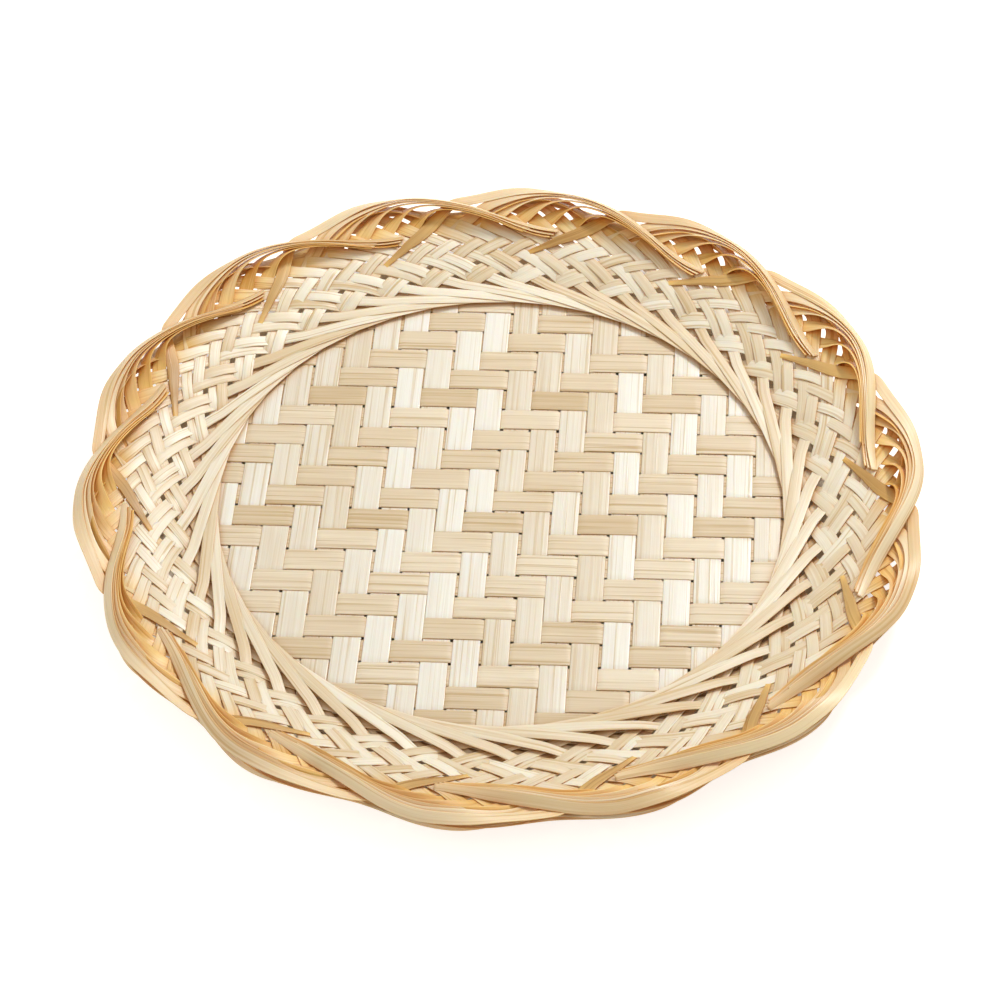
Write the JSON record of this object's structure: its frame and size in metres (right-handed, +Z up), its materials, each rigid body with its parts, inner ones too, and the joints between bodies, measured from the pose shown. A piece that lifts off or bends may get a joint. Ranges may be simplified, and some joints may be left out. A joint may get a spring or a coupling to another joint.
{
  "type": "woven bamboo tray",
  "caption": "Round shallow bamboo tray with a twilled flat base, a flared wall of narrow crossing strips and a braided scalloped rim, for serving, drying or display.",
  "frame": {"origin": "centre of the tray on the surface that it rests on", "axes": "+Z up through the open side; +X runs along the weft within 2 degrees; the picture looks from -Y"},
  "size_m": [0.3414, 0.3412, 0.0232],
  "materials": {
    "warp_strip": "split bamboo, planed, low sheen",
    "weft_strip": "split bamboo, planed, low sheen",
    "wall_strip": "narrow split bamboo, low sheen"
  },
  "bodies": {
    "root": {"mat_warp_01": "warp_strip", "mat_warp_02": "warp_strip", "mat_warp_03": "warp_strip", "mat_warp_04": "warp_strip", "mat_warp_05": "warp_strip", "mat_warp_06": "warp_strip", "mat_warp_07": "warp_strip", "mat_warp_08": "warp_strip", "mat_warp_09": "warp_strip", "mat_warp_10": "warp_strip", "mat_warp_11": "warp_strip", "mat_warp_12": "warp_strip", "mat_warp_13": "warp_strip", "mat_warp_14": "warp_strip", "mat_warp_15": "warp_strip", "mat_warp_16": "warp_strip", "mat_warp_17": "warp_strip", "mat_warp_18": "warp_strip", "mat_warp_19": "warp_strip", "mat_warp_20": "warp_strip", "mat_warp_21": "warp_strip", "mat_weft_01": "weft_strip", "mat_weft_02": "weft_strip", "mat_weft_03": "weft_strip", "mat_weft_04": "weft_strip", "mat_weft_05": "weft_strip", "mat_weft_06": "weft_strip", "mat_weft_07": "weft_strip", "mat_weft_08": "weft_strip", "mat_weft_09": "weft_strip", "mat_weft_10": "weft_strip", "mat_weft_11": "weft_strip", "mat_weft_12": "weft_strip", "mat_weft_13": "weft_strip", "mat_weft_14": "weft_strip", "mat_weft_15": "weft_strip", "mat_weft_16": "weft_strip", "mat_weft_17": "weft_strip", "mat_weft_18": "weft_strip", "mat_weft_19": "weft_strip", "mat_weft_20": "weft_strip", "mat_weft_21": "weft_strip", "wall_strips_01": "wall_strip", "wall_strips_02": "wall_strip", "wall_strips_03": "wall_strip", "wall_strips_04": "wall_strip", "wall_strips_05": "wall_strip", "wall_strips_06": "wall_strip", "wall_strips_07": "wall_strip", "wall_strips_08": "wall_strip", "wall_strips_09": "wall_strip", "wall_strips_10": "wall_strip", "wall_strips_11": "wall_strip", "wall_strips_12": "wall_strip", "wall_strips_13": "wall_strip", "wall_strips_14": "wall_strip"}
  },
  "joints": []
}
